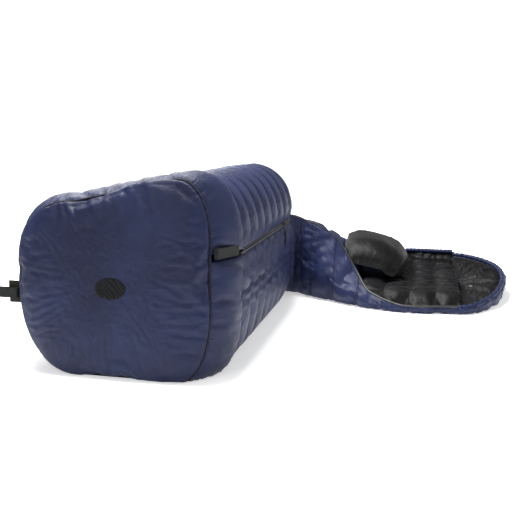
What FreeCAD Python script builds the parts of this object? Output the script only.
import FreeCAD, Part
import math
import os
from FreeCAD import Vector

# A mummy sleeping bag lying on its back: the zipped leg tube stands round and full along +X,
# then the bag turns a quarter to its right and lies open along -Y up to the hood.
# Millimetres. +X runs from the foot towards the head along the leg tube, +Z is up.
# The origin is on the flat underside, below the middle of the foot seam.

# ---- driving dimensions -------------------------------------------------------------------
LEG_LENGTH = 800.0          # straight run of the leg tube
BEND_RADIUS = 300.0         # radius of the centreline where the bag turns to the right
TORSO_LENGTH = 510.0        # straight run from the end of the turn to the hood hinge
FOOT_WIDTH_NEAR = 226.0     # centreline to the foot seam on the zip side
FOOT_WIDTH_FAR = 256.0      # centreline to the foot seam on the far side
LEG_WIDTH_NEAR = 266.0      # centreline to the zip line along the legs
LEG_WIDTH_FAR = 274.0
TOP_NEAR = 462.0            # the top of the leg tube slopes down away from the zip
TOP_FAR = 408.0
TORSO_WIDTH_NEAR = 388.0    # centreline to the zip side at the shoulders
TORSO_WIDTH_FAR = 294.0
FOOT_LEAN = 60.0            # the foot seam's bottom lies this far in front of its top
FOOT_BULGE = 60.0           # how far the foot panel swells out of its seam
SEAM_HEIGHT = 262.0         # side seam between the two layers along the legs
RIM_LOW = 76.0              # far edge of the lower layer under the fold
RIM_HIGH = 92.0             # far edge of the lower layer beside the head
ROUNDNESS = 2.3             # exponent of the rounded corners of a section
MIN_CORNER = 20.0           # least width of a rounded corner inside a wall
LOFT_STEP = 72.0            # spacing of the sections that a layer is drawn through
SHORT_STEP = 20.0           # least spacing of its last two sections

SHELL = 7.0                 # quilted outer fabric
LINING = 6.0                # quilted inner fabric
WALL = 50.0                 # whole padded wall, shell to lining
LAYER_GAP = 0.5             # between two layers of one wall

ZIP_HEIGHT = 279.0          # lower edge of the zip slot along the legs
ZIP_SLOT = 14.0             # height of the slot that the zip fills
COIL_GAP = 2.0              # between the two coils, where the slider's web runs
ZIP_COIL = 1.9              # height of a coil in the slot
ZIP_DEPTH = 4.0             # depth of a coil, outside to inside
ZIP_CLEAR = 0.5             # round the tapes, and round the slider's web
COIL_SEAT = 0.1             # between a tape and its coil
SEAM_GAP = 2.0              # between the two layers along the side seam

COVER_LENGTH = 195.0        # folded-back end of the top layer, fold to free edge
COVER_WIDTH = 330.0
COVER_THICK = 56.0
COVER_INSET = 115.0         # centreline to the flap's edge on the zip side
FOLD_RUN = 300.0            # from the end of the turn to the fold
FOLD_CREST = 8.0            # the top layer under the flap rises this far above its wall
FOLD_CLEAR = 4.0            # air between the top layer and the flap

HOOD_LAP = 1.0              # the hood is this much wider than the torso on each side
HOOD_DEPTH = 164.0
HOOD_TOP = 90.0
HOOD_ROUND = 1.8
HOOD_RIM = 26.0             # width of the drawcord channel round the hood

WEBBING = 25.0              # width of the webbing loops
WEBBING_THICK = 1.6
LOOP_GAP = 7.0              # eye of a loop
LOOP_LENGTH = 64.0
TAB_LENGTH = 82.0
TAB_CLEAR_ANGLE = 4.0       # the tab stands this many degrees off the flaring side

SLIDER_LENGTH = 20.0
SLIDER_WIDTH = 13.0
SLIDER_PLATE = 2.0
SLIDER_AT = 640.0           # along the leg tube
BAIL_RADIUS = 1.2
PULL_LENGTH = 26.0
PULL_WIDTH = 8.0
PULL_THICK = 1.6
TAG_LENGTH = 46.0
TAG_WIDTH = 9.0

# ---- derived places -----------------------------------------------------------------------
BEND_START = LEG_LENGTH
BEND_END = BEND_START + BEND_RADIUS * math.pi / 2
TORSO_END = BEND_END + TORSO_LENGTH - 1.0
ANKLE = 110.0
TORSO_X = LEG_LENGTH + BEND_RADIUS
COVER_SIDE = TORSO_X - COVER_INSET
FOLD_Y = -BEND_RADIUS - FOLD_RUN
FOLD_TOP = RIM_LOW + SEAM_GAP + WALL + FOLD_CREST
NECK_NEAR = TORSO_WIDTH_NEAR - 16.0
NECK_FAR = TORSO_WIDTH_FAR - 6.0
HOOD_WIDTH = (NECK_NEAR + NECK_FAR) / 2 + HOOD_LAP
HOOD_CENTRE = TORSO_X + (NECK_FAR - NECK_NEAR) / 2
UPPER_END = BEND_END - (FOLD_Y + BEND_RADIUS) - FOLD_CLEAR
HINGE_Y = -BEND_RADIUS - TORSO_LENGTH
ZIP_TOP = ZIP_HEIGHT + ZIP_SLOT
ZIP_TAPE = (ZIP_SLOT - COIL_GAP) / 2 - ZIP_CLEAR - COIL_SEAT - ZIP_COIL
BEND_MIDDLE = (BEND_START + BEND_END) / 2


# ---- how the sections change from foot to head --------------------------------------------
def lower_table():
    """Lower layer, s then the near and the far half: floor, wide, wide_z, edge, edge_z."""
    near, far = LEG_WIDTH_NEAR, LEG_WIDTH_FAR
    leg = (190.0, near, 175.0, near, ZIP_HEIGHT, 150.0, far, 235.0, far - 2, SEAM_HEIGHT)
    return [
        (0.0, 150.0, FOOT_WIDTH_NEAR, 175.0, FOOT_WIDTH_NEAR - 4, ZIP_HEIGHT,
         90.0, FOOT_WIDTH_FAR - 2, 250.0, FOOT_WIDTH_FAR, SEAM_HEIGHT),
        (ANKLE,) + leg,
        (LEG_LENGTH * 0.85,) + leg,
        (BEND_START + 20, 165.0, near - 14, 175.0, near - 12, ZIP_HEIGHT,
         160.0, far - 4, 220.0, far - 6, SEAM_HEIGHT - 10),
        (BEND_MIDDLE, 110.0, 206.0, 165.0, 222.0, 285.0, 180.0, 272.0, 150.0, 268.0, 195.0),
        (BEND_END, 200.0, 250.0, 110.0, 216.0, 262.0, 200.0, 272.0, 90.0, 268.0, 122.0),
        (BEND_END + 100, 250.0, 305.0, 70.0, 226.0, 212.0, 215.0, 276.0, 60.0, 270.0, RIM_LOW),
        (BEND_END + 170, 295.0, 340.0, 50.0, 262.0, 140.0, 225.0, 280.0, 50.0, 274.0, RIM_LOW),
        (BEND_END + 230, 318.0, 364.0, 38.0, 330.0, 84.0, 235.0, 288.0, 48.0, 282.0, RIM_LOW),
        (BEND_END + 354, 338.0, TORSO_WIDTH_NEAR, 32.0, TORSO_WIDTH_NEAR - 4, 66.0,
         245.0, TORSO_WIDTH_FAR, 50.0, TORSO_WIDTH_FAR - 4, RIM_HIGH),
        (TORSO_END, 320.0, NECK_NEAR, 32.0, NECK_NEAR - 4, 66.0,
         235.0, NECK_FAR, 50.0, NECK_FAR - 4, RIM_HIGH),
    ]


def upper_table():
    """Top layer, s then near edge, its height, near top, its height, far top, its height."""
    leg = (LEG_WIDTH_NEAR, ZIP_TOP, 150.0, TOP_NEAR, 120.0, TOP_FAR)
    return [
        (0.0, FOOT_WIDTH_NEAR - 4, ZIP_TOP, 140.0, TOP_NEAR, 115.0, TOP_FAR),
        (ANKLE,) + leg,
        (LEG_LENGTH * 0.85,) + leg,
        (BEND_START + 20, LEG_WIDTH_NEAR - 12, ZIP_TOP + 3, 135.0, TOP_NEAR - 16,
         120.0, TOP_FAR - 10),
        (BEND_START + 110, 196.0, 316.0, 100.0, 405.0, 130.0, 368.0),
        (BEND_MIDDLE, 124.0, 262.0, 50.0, 336.0, 140.0, 312.0),
        (BEND_START + 350, 104.0, 170.0, 40.0, 250.0, 150.0, 242.0),
        (BEND_END, 96.0, 116.0, 30.0, 188.0, 160.0, 190.0),
        (BEND_END + 90, 96.0, 76.0, 30.0, FOLD_TOP, 170.0, FOLD_TOP),
        (UPPER_END, 112.0, 70.0, 30.0, FOLD_TOP, 180.0, FOLD_TOP),
    ]


def at(table, s):
    """Every number of a table at arc length s, on smooth curves that never overshoot."""
    k = 0
    while k < len(table) - 2 and s > table[k + 1][0]:
        k += 1
    before = table[max(k - 1, 0)]
    low, high = table[k], table[k + 1]
    after = table[min(k + 2, len(table) - 1)]
    span = high[0] - low[0]
    f = min(max((s - low[0]) / span, 0.0), 1.0)

    def slope(p0, p1, p2, column):
        if p0[0] == p1[0] or p1[0] == p2[0]:
            return 0.0
        rise = (p1[column] - p0[column]) / (p1[0] - p0[0])
        follow = (p2[column] - p1[column]) / (p2[0] - p1[0])
        return 0.0 if rise * follow <= 0 else 2 * rise * follow / (rise + follow)

    values = []
    for column in range(1, len(low)):
        m0 = slope(before, low, high, column) * span
        m1 = slope(low, high, after, column) * span
        p0, p1 = low[column], high[column]
        values.append((2 * f**3 - 3 * f**2 + 1) * p0 + (f**3 - 2 * f**2 + f) * m0
                      + (3 * f**2 - 2 * f**3) * p1 + (f**3 - f**2) * m1)
    return values


def lower_halves(s):
    values = at(lower_table(), s)
    return values[:5], values[5:]


def upper_halves(s):
    """Near and far half of the top layer. Its far edge sits on the lower layer's."""
    edge, edge_z, near_top, near_z, far_top, far_z = at(upper_table(), s)
    seat = lower_halves(s)[1]
    return (edge, edge_z, near_top, near_z), (seat[3], seat[4] + SEAM_GAP, far_top, far_z)


def stops(start, end):
    """Evenly spaced arc lengths from start to end, about LOFT_STEP apart."""
    count = max(int(round((end - start) / LOFT_STEP)), 2)
    return [start + (end - start) * k / count for k in range(count + 1)]


# ---- placing ------------------------------------------------------------------------------
def place(s, t, z):
    """Row-frame point at arc length s, t to the left of the centreline, at height z."""
    turn = min(max(s - BEND_START, 0.0) / BEND_RADIUS, math.pi / 2)
    run = s if s < BEND_START else BEND_START
    past = max(s - BEND_END, 0.0)
    lean = FOOT_LEAN * (z / TOP_NEAR - 0.5) * min(max(1 - s / (LEG_LENGTH * 0.45), 0.0), 1.0)
    x = run + BEND_RADIUS * math.sin(turn) + past * math.cos(turn) + t * math.sin(turn) + lean
    y = -BEND_RADIUS * (1 - math.cos(turn)) - past * math.sin(turn) + t * math.cos(turn)
    return Vector(x, y, z)


def power(value):
    return max(value, 0.0) ** (2 / ROUNDNESS)


def lower_side(half, depth):
    """Points of one side of the lower layer, edge to floor, at a depth below the outside."""
    floor, wide, wide_z, edge, edge_z = half
    squash = 1 - depth / edge_z
    flat = min(floor, wide - depth - MIN_CORNER)
    points = [(edge - depth, edge_z)]
    for degrees in (0, 22, 45, 68, 90):
        phi = math.radians(degrees)
        t = flat + (wide - depth - flat) * power(math.cos(phi))
        z = wide_z * (1 - power(math.sin(phi)))
        points.append((t, depth + z * squash))
    return points


def upper_side(half, depth):
    """Points of one side of the top layer, edge to top, at a depth below the outside."""
    edge, edge_z, top, top_z = half
    squash = 1 - depth / (top_z - edge_z)
    flat = min(top, edge - depth - MIN_CORNER)
    points = []
    for degrees in (0, 22, 45, 68, 90):
        phi = math.radians(degrees)
        t = flat + (edge - depth - flat) * power(math.cos(phi))
        z = (top_z - edge_z) * power(math.sin(phi))
        points.append((t, edge_z + z * squash))
    return points


def sides(s, halves, side, depth):
    """Near and far points of a section at one depth, from the open edge to the flat."""
    near, far = halves(s)
    near_points = [place(s, -t, z) for t, z in side(near, depth)]
    far_points = [place(s, t, z) for t, z in side(far, depth)]
    return near_points, far_points


def section(s, halves, side, outer, inner, part):
    """Closed wire of one part of a padded layer between two depths."""
    near_out, far_out = sides(s, halves, side, outer)
    near_in, far_in = sides(s, halves, side, inner)
    if part == "near":
        points = near_out + near_in[::-1]
    elif part == "far":
        points = far_out + far_in[::-1]
    elif part == "flat":
        points = [near_out[-1], far_out[-1], far_in[-1], near_in[-1]]
    else:
        points = near_out + far_out[::-1] + far_in + near_in[::-1]
    return Part.makePolygon(points + points[:1])


def loft(wires, ruled=True):
    solid = Part.makeLoft(wires, True, ruled)
    if solid.Volume < 0:
        solid.reverse()
    return solid


def layer(halves, side, stations, outer, inner, part="whole"):
    return loft([section(s, halves, side, outer, inner, part) for s in stations])


def lower_stations():
    return stops(0.0, TORSO_END)


def upper_stations():
    """The lower layer's stations as far as the top layer goes, so that their seams match."""
    return [s for s in lower_stations() if s < UPPER_END - SHORT_STEP] + [UPPER_END]


def lengths(stations):
    """Stations of the leg, of the bend and of the torso, which share their end stations."""
    gaps = [abs(s - BEND_START) for s in stations]
    knee = gaps.index(min(gaps))
    gaps = [abs(s - BEND_END) for s in stations]
    hip = gaps.index(min(gaps))
    return {"leg": stations[:knee + 1], "bend": stations[knee:hip + 1], "torso": stations[hip:]}


def save(shape, name):
    solids = shape.Solids
    ok = shape.isValid() and len(solids) > 0
    print("%-24s solids %d volume %9.1f cm3 %s" % (name, len(solids), shape.Volume / 1000, ok))
    shape.exportStep("parts/%s.step" % name)
    return shape


# ---- the padded layers --------------------------------------------------------------------
def wadding(halves, side, all_stations, flat_name):
    """Wadding of one layer, a chamber on each side and one between, in three lengths."""
    outer = SHELL + LAYER_GAP
    inner = WALL - LINING - LAYER_GAP
    chambers = {}
    for length, stations in lengths(all_stations).items():
        for part in ("near", "flat", "far"):
            name = "%s_%s" % (length, flat_name if part == "flat" else part)
            chambers[name] = layer(halves, side, stations, outer, inner, part)
    return chambers


def shell_floor():
    """Flat underside of the shell, one plate between its two rounded sides."""
    rows = [sides(s, lower_halves, lower_side, SHELL) for s in lower_stations()]
    near = [Vector(row[0][-1].x, row[0][-1].y, 0.0) for row in rows]
    far = [Vector(row[1][-1].x, row[1][-1].y, 0.0) for row in rows]
    outline = Part.makePolygon(near + far[::-1] + near[:1])
    return Part.Face(outline).extrude(Vector(0, 0, SHELL))


def lower_layer():
    stations = lower_stations()
    pieces = {"lower_shell_floor": shell_floor()}
    for part in ("near", "far"):
        pieces["lower_shell_" + part] = layer(lower_halves, lower_side, stations, 0.0, SHELL, part)
    for name, chamber in wadding(lower_halves, lower_side, stations, "floor").items():
        pieces["lower_fill_" + name] = chamber
    pieces["lower_lining"] = layer(lower_halves, lower_side, stations, WALL - LINING, WALL)
    return pieces


def top_layer():
    stations = upper_stations()
    pieces = {"upper_shell": layer(upper_halves, upper_side, stations, 0.0, SHELL)}
    for name, chamber in wadding(upper_halves, upper_side, stations, "top").items():
        pieces["upper_fill_" + name] = chamber
    pieces["upper_lining"] = layer(upper_halves, upper_side, stations, WALL - LINING, WALL)
    return pieces


# ---- foot panel ---------------------------------------------------------------------------
def curve(points, end_tangent):
    """Smooth edge through points that starts upright and leaves along end_tangent."""
    spline = Part.BSplineCurve()
    tangents = [Vector(0, 0, 1)] * (len(points) - 1) + [end_tangent]
    flags = [False] * (len(points) - 1) + [True]
    spline.interpolate(Points=points, Tangents=tangents, TangentFlags=flags)
    return spline.toShape()


def ring(offset, scale):
    """Outline of the foot seam, moved along X and scaled about its middle."""
    middle_t = (FOOT_WIDTH_FAR - FOOT_WIDTH_NEAR) / 2
    middle_z = (TOP_NEAR + TOP_FAR) / 4
    corners = []
    edges = []

    def spot(t, z):
        return place(offset, middle_t + (t - middle_t) * scale, middle_z + (z - middle_z) * scale)

    for (near, far), side in ((lower_halves(0), lower_side), (upper_halves(0), upper_side)):
        near_spots = [spot(-t, z) for t, z in side(near, 0.0)]
        far_spots = [spot(t, z) for t, z in side(far, 0.0)]
        across = (far_spots[-1] - near_spots[-1]).normalize()
        edges.append(curve(near_spots, across))
        edges.append(Part.makeLine(near_spots[-1], far_spots[-1]))
        edges.append(curve(far_spots, across * -1))
        corners.append((near_spots[0], far_spots[0]))
    edges.append(Part.makeLine(corners[0][0], corners[1][0]))
    edges.append(Part.makeLine(corners[0][1], corners[1][1]))
    return Part.Wire(Part.__sortEdges__(edges))


def dome(start, depth, scale):
    """Pillow standing out of the seam plane by depth."""
    steps = ((0.0, 1.0), (0.42, 0.95), (0.82, 0.80), (1.0, 0.52))
    return loft([ring(-start - depth * run, scale * size) for run, size in steps], False)


def foot_panel():
    lining_scale = 0.955
    shell = dome(0.0, FOOT_BULGE, 1.0)
    shell = shell.cut(dome(-1.0, FOOT_BULGE - SHELL + 1.0, lining_scale))
    lining = loft([ring(-LAYER_GAP, 0.945), ring(-LAYER_GAP - LINING, 0.945)], False)
    start = 2 * LAYER_GAP + LINING
    fill = dome(start, FOOT_BULGE - SHELL - start - 1.5, 0.925)
    return shell, fill, lining


def foot_emblem():
    """Small plain embroidered oval on the foot panel."""
    half_width = 40.0
    half_height = 24.0
    thickness = 1.5
    centre_t = 6.0
    centre_z = 214.0
    points = []
    for k in range(24):
        phi = 2 * math.pi * k / 24
        t = centre_t + half_width * math.cos(phi)
        points.append(place(-FOOT_BULGE - LAYER_GAP, t, centre_z + half_height * math.sin(phi)))
    wire = Part.makePolygon(points + points[:1])
    return Part.Face(wire).extrude(Vector(-thickness, 0, 0))


# ---- zip ----------------------------------------------------------------------------------
def bar(edges, t_out, t_in, z_low, z_high):
    """Strip that follows the edge of a layer. edges: (s, edge, edge_z)."""
    wires = []
    for s, edge, edge_z in edges:
        corners = ((t_out, z_low), (t_in, z_low), (t_in, z_high), (t_out, z_high))
        points = [place(s, -edge - t, edge_z + z) for t, z in corners]
        wires.append(Part.makePolygon(points + points[:1]))
    return loft(wires)


def zip_chain():
    """Tape and coil of both edges, from the ankle to the end of each layer."""
    lower = [(s, *lower_halves(s)[0][3:]) for s in lower_stations() if s > ANKLE]
    upper = [(s, *upper_halves(s)[0][:2]) for s in upper_stations() if s > ANKLE]
    tape_low = ZIP_CLEAR
    tape_high = tape_low + ZIP_TAPE
    coil_low = tape_high + COIL_SEAT
    coil_high = coil_low + ZIP_COIL
    return {
        "zip_tape_lower": bar(lower, -1.0, -3.0, tape_low, tape_high),
        "zip_coil_lower": bar(lower, 0.0, -ZIP_DEPTH, coil_low, coil_high),
        "zip_tape_upper": bar(upper, -1.0, -3.0, -tape_high, -tape_low),
        "zip_coil_upper": bar(upper, 0.0, -ZIP_DEPTH, -coil_high, -coil_low),
    }


def block(x, y, z):
    """Box between pairs of limits."""
    return Part.makeBox(x[1] - x[0], y[1] - y[0], z[1] - z[0], Vector(x[0], y[0], z[0]))


def zip_foot_stop():
    """Moulded stop that bridges the foot end of the chain."""
    length = 8.0
    chain_start = min(s for s in lower_stations() if s > ANKLE)
    start = chain_start - length - LAYER_GAP
    half = ZIP_SLOT / 2 - 2.5
    middle = ZIP_HEIGHT + ZIP_SLOT / 2
    face = -LEG_WIDTH_NEAR
    return block((start, start + length), (face - 1, face + 4), (middle - half, middle + half))


def zip_slider():
    """Two plates joined by the thin web that runs between the coils, and a bail for the pull."""
    middle = ZIP_HEIGHT + ZIP_SLOT / 2
    face = -LEG_WIDTH_NEAR
    x = (SLIDER_AT - SLIDER_LENGTH / 2, SLIDER_AT + SLIDER_LENGTH / 2)
    outer_y = (face - ZIP_CLEAR - 1.0 - SLIDER_PLATE, face - ZIP_CLEAR - 1.0)
    inner_y = (face + ZIP_DEPTH + ZIP_CLEAR, face + ZIP_DEPTH + ZIP_CLEAR + 1.5)
    half = SLIDER_WIDTH / 2
    web = COIL_GAP / 2 - ZIP_CLEAR
    plate = block(x, outer_y, (middle - half, middle + half))
    plate = plate.makeFillet(3.0, [e for e in plate.Edges if abs(e.tangentAt(0).y) > 0.9])
    back = block(x, inner_y, (middle - half + 0.6, middle + half - 0.6))
    join = block((x[0] + 4, x[1] - 4), (outer_y[0], inner_y[1]), (middle - web, middle + web))
    body = plate.fuse([back, join])
    bar_y = outer_y[0] - 3.4
    rod = Part.makeCylinder(BAIL_RADIUS, 14.0, Vector(SLIDER_AT - 7, bar_y, middle), Vector(1, 0, 0))
    for foot_x in (SLIDER_AT - 8.5, SLIDER_AT + 6.5):
        rod = rod.fuse(block((foot_x, foot_x + 2), (bar_y - 1.2, outer_y[0] + 0.1),
                             (middle - 1.2, middle + 1.2)))
    return body.fuse(rod).removeSplitter(), Vector(SLIDER_AT, bar_y, middle)


def pull_tab(pivot):
    """Flat metal tab with an eye round the slider's bail and a slot for its tag."""
    eye = BAIL_RADIUS + 0.5
    top = pivot.z + eye + 1.6
    bottom = top - PULL_LENGTH
    ring_solid = Part.makeCylinder(eye + 1.6, PULL_WIDTH, Vector(pivot.x - PULL_WIDTH / 2, pivot.y,
                                   pivot.z), Vector(1, 0, 0))
    hole = Part.makeCylinder(eye, PULL_WIDTH + 2, Vector(pivot.x - PULL_WIDTH / 2 - 1, pivot.y,
                             pivot.z), Vector(1, 0, 0))
    y = (pivot.y - PULL_THICK / 2, pivot.y + PULL_THICK / 2)
    blade = block((pivot.x - PULL_WIDTH / 2, pivot.x + PULL_WIDTH / 2), y, (bottom, pivot.z - eye))
    slot = block((pivot.x - 2.6, pivot.x + 2.6), (y[0] - 1, y[1] + 1), (bottom + 2, bottom + 6))
    return ring_solid.fuse(blade).cut(hole).cut(slot).removeSplitter(), bottom


def pull_tag(pivot, bottom):
    """Webbing tag that hangs from the pull's slot."""
    top = bottom + 5.4
    thick = 1.4
    gap = PULL_THICK + 0.8
    y_out = pivot.y - gap / 2 - thick
    y_in = pivot.y + gap / 2 + thick
    x = (pivot.x - 2.2, pivot.x + 2.2)
    loop_part = block(x, (y_out, y_in), (bottom + 2.6, top - 0.6))
    front = block(x, (y_out, y_out + thick), (bottom - 4, top - 0.6))
    back = block(x, (y_in - thick, y_in), (bottom - 4, top - 0.6))
    wide = (pivot.x - TAG_WIDTH / 2, pivot.x + TAG_WIDTH / 2)
    body = block(wide, (y_out, y_in), (bottom - 4 - TAG_LENGTH, bottom - 3.4))
    return body.fuse([loop_part, front, back]).removeSplitter()


# ---- draft tube ---------------------------------------------------------------------------
def draft_tube():
    """Padded roll behind the zip, inside the leg tube."""
    radius = 22.0
    y = -(LEG_WIDTH_NEAR - WALL - radius - 3.0)
    z = ZIP_HEIGHT + ZIP_SLOT / 2
    start = Vector(ANKLE + 60, y, z)
    length = LEG_LENGTH * 0.85 - ANKLE - 70
    along = Vector(1, 0, 0)
    outer = Part.makeCylinder(radius, length, start, along)
    bore = Part.makeCylinder(radius - 4, length - 8, start + along * 4, along)
    fill = Part.makeCylinder(radius - 4 - LAYER_GAP, length - 10, start + along * 5, along)
    return outer.cut(bore), fill


# ---- cover flap ---------------------------------------------------------------------------
def cover():
    """End of the top layer turned back on itself: lining on top, shell underneath."""
    low = FOLD_TOP + FOLD_CLEAR
    y0 = FOLD_Y
    y1 = FOLD_Y + COVER_LENGTH
    fold_radius = 30.0

    def slab(z0, z1, inset):
        return block((COVER_SIDE + inset, COVER_SIDE + COVER_WIDTH - inset),
                     (y0 + inset, y1 - inset), (z0, z1))

    whole = slab(low, low + COVER_THICK, 0.0)
    front = [e for e in whole.Edges if abs(e.CenterOfMass.y - y0) < 0.1
             and abs(e.CenterOfMass.z - low - COVER_THICK) < 0.1]
    whole = whole.makeFillet(fold_radius, front)
    core = slab(low + SHELL, low + COVER_THICK - LINING, LINING)
    core_front = [e for e in core.Edges if abs(e.CenterOfMass.y - y0 - LINING) < 0.1
                  and abs(e.CenterOfMass.z - low - COVER_THICK + LINING) < 0.1]
    core = core.makeFillet(fold_radius - LINING, core_front)
    base = slab(low - 1, low + SHELL, -1.0)
    shell = whole.common(base)
    lining = whole.cut(base).cut(core)
    fill = slab(low + SHELL + LAYER_GAP, low + COVER_THICK - LINING - LAYER_GAP,
                LINING + LAYER_GAP)
    fill_front = [e for e in fill.Edges if abs(e.CenterOfMass.y - y0 - LINING - LAYER_GAP) < 0.1
                  and abs(e.CenterOfMass.z - low - COVER_THICK + LINING + LAYER_GAP) < 0.1]
    fill = fill.makeFillet(fold_radius - LINING - LAYER_GAP, fill_front)
    tape = block((COVER_SIDE - 3.0, COVER_SIDE - LAYER_GAP), (y0 + 40, y1 - 6),
                 (low + 2, low + 6))
    return shell, fill, lining, tape


# ---- hood ---------------------------------------------------------------------------------
def hood_outline(inset, z):
    """Half round outline of the hood, closed along its hinge line."""
    width = HOOD_WIDTH - inset
    depth = HOOD_DEPTH - inset
    start = HINGE_Y - 1.0 - inset * 0.3
    points = []
    steps = 12
    for k in range(steps + 1):
        phi = math.pi * k / steps
        c = math.cos(phi)
        x = width * math.copysign(abs(c) ** (2 / HOOD_ROUND), c)
        y = depth * max(math.sin(phi), 0.0) ** (2 / HOOD_ROUND)
        points.append(Vector(HOOD_CENTRE + x, start - y, z))
    spline = Part.BSplineCurve()
    spline.interpolate(Points=points)
    return Part.Wire([spline.toShape(), Part.makeLine(points[-1], points[0])])


def hood_block(inset, z0, z1):
    return Part.Face(hood_outline(inset, z0)).extrude(Vector(0, 0, z1 - z0))


def hood():
    fill_top = 58.0
    lining_top = fill_top + LINING + LAYER_GAP
    shell = hood_block(0.0, 0.0, HOOD_TOP).cut(hood_block(SHELL, SHELL, HOOD_TOP + 1))
    fill = hood_block(SHELL + LAYER_GAP, SHELL + LAYER_GAP, fill_top)
    lining = hood_block(SHELL + LAYER_GAP, fill_top + LAYER_GAP, lining_top)
    rim = hood_block(SHELL + LAYER_GAP, lining_top + LAYER_GAP, HOOD_TOP)
    inner = hood_block(SHELL + HOOD_RIM, lining_top, HOOD_TOP + 1)
    return shell, fill, lining, rim.cut(inner)


def hood_eyelets():
    """Two metal rings where the drawcord leaves its channel."""
    solids = []
    for side in (-1, 1):
        spot = Vector(HOOD_CENTRE + side * (HOOD_WIDTH - 30), HINGE_Y - 34.0, HOOD_TOP + 0.2)
        ring_solid = Part.makeCylinder(6.0, 1.4, spot).cut(Part.makeCylinder(3.0, 1.4, spot))
        solids.append(ring_solid)
    return Part.makeCompound(solids)


# ---- webbing ------------------------------------------------------------------------------
def webbing_loop(length, pivot, angle, gap):
    """Strip folded into a flat loop that starts at pivot and points along angle in plan."""
    half = gap / 2 + WEBBING_THICK
    run = length - half
    outer = block((0, run), (-half, half), (0, WEBBING))
    outer = outer.fuse(Part.makeCylinder(half, WEBBING, Vector(run, 0, 0)))
    eye = block((6.0, run), (-gap / 2, gap / 2), (-1, WEBBING + 1))
    eye = eye.fuse(Part.makeCylinder(gap / 2, WEBBING + 2, Vector(run, 0, -1)))
    loop = outer.cut(eye).removeSplitter()
    tack = block((2.0, 4.0), (-half - 0.6, -half), (3, WEBBING - 3))
    tack = Part.makeCompound([tack, block((2.0, 4.0), (half, half + 0.6), (3, WEBBING - 3))])
    for shape in (loop, tack):
        shape.rotate(Vector(0, 0, 0), Vector(0, 0, 1), angle)
        shape.translate(pivot - Vector(0, 0, WEBBING / 2))
    return loop, tack


def care_label():
    """Soft label sewn in beside the far loop."""
    spot = place(0, 250.0, 185.0)
    return block((spot.x + 9, spot.x + 9.8), (spot.y + 12, spot.y + 42), (158.0, 213.0))


def build():
    os.makedirs("parts", exist_ok=True)
    for layer_pieces in (lower_layer(), top_layer()):
        for name, solid in layer_pieces.items():
            save(solid, name)
    for kind, solid in zip(("shell", "fill", "lining"), foot_panel()):
        save(solid, "foot_panel_%s" % kind)
    save(foot_emblem(), "foot_emblem")
    for name, solid in zip_chain().items():
        save(solid, name)
    save(zip_foot_stop(), "zip_foot_stop")
    slider, pivot = zip_slider()
    save(slider, "zip_slider")
    print("pull pivot", pivot)
    pull, bottom = pull_tab(pivot)
    save(pull, "zip_pull")
    save(pull_tag(pivot, bottom), "zip_pull_tag")
    roll, roll_fill = draft_tube()
    save(roll, "draft_tube_shell")
    save(roll_fill, "draft_tube_fill")
    for kind, solid in zip(("shell", "fill", "lining", "zip_tape"), cover()):
        save(solid, "cover_%s" % kind)
    for kind, solid in zip(("shell", "fill", "lining", "rim"), hood()):
        save(solid, "hood_%s" % kind)
    save(hood_eyelets(), "hood_eyelets")
    far_pivot = Vector(place(0, 0, 185).x, FOOT_WIDTH_FAR + 6, 185.0)
    far_loop, far_tack = webbing_loop(LOOP_LENGTH, far_pivot, 90, LOOP_GAP)
    save(far_loop, "loop_far")
    save(far_tack, "loop_far_tack")
    near_pivot = Vector(place(0, 0, 297).x - 2, -FOOT_WIDTH_NEAR - 10, 297.0)
    flare = math.atan((LEG_WIDTH_NEAR - FOOT_WIDTH_NEAR) / ANKLE)
    tab_angle = math.degrees(flare) + TAB_CLEAR_ANGLE
    near_loop, near_tack = webbing_loop(TAB_LENGTH, near_pivot, -tab_angle, LOOP_GAP)
    save(near_loop, "loop_near")
    save(near_tack, "loop_near_tack")
    save(care_label(), "care_label")
    print("pivots", far_pivot, near_pivot)


build()
